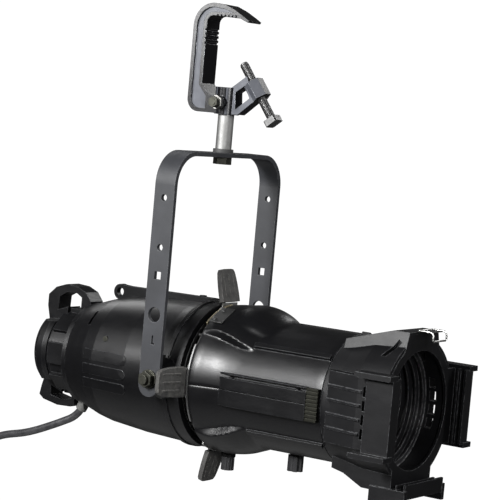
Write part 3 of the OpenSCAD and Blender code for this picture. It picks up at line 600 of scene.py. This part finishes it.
def barrel_shell(name, start, end, node):
    bm = bmesh.new()
    ys = [BACK_END - 1.6 * i for i in range(56)] + [-132 - 6 * i for i in range(18)] + [FRONT_END]
    steps = 150
    outer, inner = [], []
    for y in ys:
        ro, ri = [], []
        for k in range(steps + 1):
            th = start + (end - start) * k / steps
            t = math.radians(th)
            r = barrel_radius(th, y)
            if k in (0, steps):
                r -= 0.7
            if y in (ys[0], ys[-1]):
                r -= 0.5
            q = max(83.1, min(r - 3, 94))
            ro.append(bm.verts.new((r * math.sin(t), y, r * math.cos(t))))
            ri.append(bm.verts.new((q * math.sin(t), y, q * math.cos(t))))
        outer.append(ro)
        inner.append(ri)
    for grid in (outer, inner):
        for a, b in zip(grid, grid[1:]):
            for k in range(steps):
                bm.faces.new((a[k], a[k + 1], b[k + 1], b[k]))
    for o, i in ((outer[0], inner[0]), (outer[-1], inner[-1])):
        for k in range(steps):
            bm.faces.new((o[k], o[k + 1], i[k + 1], i[k]))
    for k in (0, steps):
        for j in range(len(ys) - 1):
            bm.faces.new((outer[j][k], outer[j + 1][k], inner[j + 1][k], inner[j][k]))

    def bar(theta, y0, y1, width, height, foot=3):
        """A rail lying along the barrel, with a slanted rear end."""
        w, slant = width / 2, 1.8
        section = [(-w - 0.8, BARREL_R - foot), (w + 0.8, BARREL_R - foot),
                   (w, BARREL_R + height), (-w, BARREL_R + height)]
        verts = [[bm.verts.new(rot("Y", theta) @ Vector(
            (x, y - slant if z > BARREL_R and y == y1 else y, z))) for x, z in section] for y in (y0, y1)]
        for k in range(4):
            n = (k + 1) % 4
            bm.faces.new((verts[0][k], verts[0][n], verts[1][n], verts[1][k]))
        bm.faces.new(list(reversed(verts[0])))
        bm.faces.new(verts[1])

    def block(side, z0, z1, y0=-221, y1=-85):
        """Raised block along the side, its rear end run into the bulge."""
        face, foot = 91.2, 80
        outline = [(y0, face), (y1 - 16, face), (y1, face - 3.4), (y1, foot), (y0, foot)]
        rows = [[bm.verts.new((side * x, y, z)) for y, x in outline] for z in (z0, z1)]
        for k in range(len(outline)):
            n = (k + 1) % len(outline)
            bm.faces.new((rows[0][k], rows[0][n], rows[1][n], rows[1][k]))
        bm.faces.new(list(reversed(rows[0])))
        bm.faces.new(rows[1])

    if node == "barrel_upper":
        bar(-48, -239, -120, 7, 4.5)
        bar(22, -236, -95, 7, 4)
        bar(22, -239, -225, 10, 6)
        for side in (-1, 1):
            block(side, -2.2, 13.6)
            block(side, 17.4, 19.4)
            for y in (-104, -206):
                lathe(bm, at(side * 88, y, 13.4), [(0, 0), (3.0, 0), (3.0, 1.6), (2.2, 2.3), (0, 2.4)], 20)
    else:
        for theta in (-130, 130):
            bar(theta, -239, -120, 6, 3.5)
        for side in (-1, 1):
            block(side, -24.4, -2.8)
        lathe(bm, at(0, -52, -108), [(4.2, 0), (10, 0), (10, 9), (12.5, 12)], 40)
    piece(name, bm, "barrel", node, MATS["black_casting"], bevel=(0.7, 2), angle=40)


barrel_shell("barrel_upper_cast", -91.5, 91.5, "barrel_upper")
barrel_shell("barrel_lower_cast", 91.9, 268.1, "barrel_lower")


def arc_strip(name, start, end, y0, y1, r0, r1, mat, slot_name):
    """Bent strip that lines a shutter slot at the rim of the barrel."""
    bm = bmesh.new()
    n = 40
    rows = []
    for k in range(n + 1):
        th = start + (end - start) * k / n
        t = math.radians(th)
        thin = 0.25 if k in (0, n) else 1.0
        outer = r0 + (r1 - r0) * thin
        rows.append([bm.verts.new((r * math.sin(t), y, r * math.cos(t)))
                     for r, y in ((r0, y0), (outer, y0), (outer, y1), (r0, y1))])
    for a, b in zip(rows, rows[1:]):
        for k in range(4):
            bm.faces.new((a[k], a[(k + 1) % 4], b[(k + 1) % 4], b[k]))
    bm.faces.new(rows[0])
    bm.faces.new(list(reversed(rows[-1])))
    piece(name, bm, "barrel", None, mat, bevel=(0.3, 2))


STRIP = (-39.7, -41.9)
arc_strip("slot_strip_near", -125, -58, *STRIP, 93, 98.9, MATS["strip_steel"], "plain_steel")
arc_strip("slot_strip_far", 58, 125, *STRIP, 93, 98.9, MATS["strip_steel"], "plain_steel")
arc_strip("slot_strip_top", -40, -3, *STRIP, 95, 100.6, MATS["strip_brass"], "plain_steel")
arc_strip("slot_strip_bottom", 150, 210, *STRIP, 95, 101.2, MATS["plain_steel"], "plain_steel")
for name in ("gate_rear_plate", "gate_front_plate"):
    for s in NODES[name].material_slots:
        s.material = MATS["black_sheet"]


# ------------------------------------------------------------------ colour frame clip

def clip_piece():
    """Spring clip bent from round wire, with a black thumb plate."""
    bm = bmesh.new()
    route = [Vector(point) for point in (
        (-18, -337.4, 105), (-18, -352, 105), (-18, -356.6, 104), (-18, -358, 100), (-18, -358, 95),
        (-15, -358, 93.4), (15, -358, 93.4), (18, -358, 95), (18, -358, 100), (18, -356.6, 104),
        (18, -352, 105), (18, -337.4, 105), (-18, -337.4, 105))]
    for a, b in zip(route, route[1:]):
        d = b - a
        place = Matrix.Translation(a) @ d.to_track_quat("Z", "Y").to_matrix().to_4x4()
        lathe(bm, place, [(0, -1.2), (0.9, -0.9), (1.3, 0),
                          (1.3, d.length), (0.9, d.length + 0.9), (0, d.length + 1.2)], 14)
    piece("frame_clip_wire", bm, "frame_clip", "frame_clip", MATS["clip_steel"])
    bm = bmesh.new()
    plate = [(-15, -339), (15, -339), (15, -352), (10, -355.5), (-10, -355.5), (-15, -352)]
    slab(bm, at(0, 0, 104.2), plate, 0, 1.2)
    piece("frame_clip_plate", bm, "frame_clip", None, MATS["black_sheet"], bevel=(0.4, 2))


clip_piece()


# ------------------------------------------------------------------ stage and light

FLOOR_R, FLOOR_Z = 2.4, -2.3


def stage_floor():
    bm = bmesh.new()
    bmesh.ops.create_circle(bm, cap_ends=True, segments=96, radius=FLOOR_R)
    mesh = bpy.data.meshes.new("studio_floor")
    bm.to_mesh(mesh)
    bm.free()
    obj = bpy.data.objects.new("studio_floor", mesh)
    obj.location = (0, 0, FLOOR_Z)
    SCENE.collection.objects.link(obj)

    def build(m):
        g = Graph(m)
        g.set(Base_Color=g.mix(g.noise(3), (0.50, 0.50, 0.50), (0.54, 0.54, 0.54)), Roughness=0.9)
    mesh.materials.append(material("studio_floor_look", build))


stage_floor()

world = bpy.data.worlds.new("studio")
SCENE.world = world
world.use_nodes = True
wt = world.node_tree
background = next(n for n in wt.nodes if n.type == "BACKGROUND")
# The sky looks white and lights the object only a little
seen = wt.nodes.new("ShaderNodeMapRange")
seen.inputs["To Min"].default_value = 0.05
seen.inputs["To Max"].default_value = 1.06
wt.links.new(wt.nodes.new("ShaderNodeLightPath").outputs["Is Camera Ray"], seen.inputs["Value"])
wt.links.new(seen.outputs["Result"], background.inputs["Color"])
background.inputs["Strength"].default_value = 1.0


def softbox(name, offset, aim, size, power):
    """A soft rectangular light, placed by camera right, up and back from the target."""
    data = bpy.data.lights.new(name, "AREA")
    data.shape = "RECTANGLE"
    data.size, data.size_y = size
    data.energy = power
    obj = bpy.data.objects.new(name, data)
    place = TARGET + right * offset[0] + Vector((0, 0, 1)) * offset[1] + back * offset[2]
    obj.location = place
    look = (TARGET + Vector(aim) - place).to_track_quat("-Z", "Y")
    obj.rotation_mode = "QUATERNION"
    obj.rotation_quaternion = look
    SCENE.collection.objects.link(obj)


softbox("key_left", (-1.35, 0.66, 1.45), (0, 0, -0.1), (0.26, 0.55), 82)
softbox("rim_left", (-1.9, 1.0, 0.2), (0, 0, 0), (0.4, 0.8), 3)
softbox("side_left", (-2.1, 0.45, 0.75), (0, 0, 0.05), (0.25, 0.45), 14)
softbox("right_strip", (1.8, 0.9, 0.35), (0, 0, -0.1), (0.3, 1.2), 18)
softbox("bore_light", (0.55, 0.25, 2.2), (0.05, -0.35, -0.2), (0.30, 0.30), 24)
softbox("back_left", (-0.9, 1.3, -1.9), (0, 0, -0.1), (0.7, 0.7), 6)
softbox("back_right", (1.2, 1.3, -1.7), (0, 0, -0.1), (0.5, 0.7), 8)
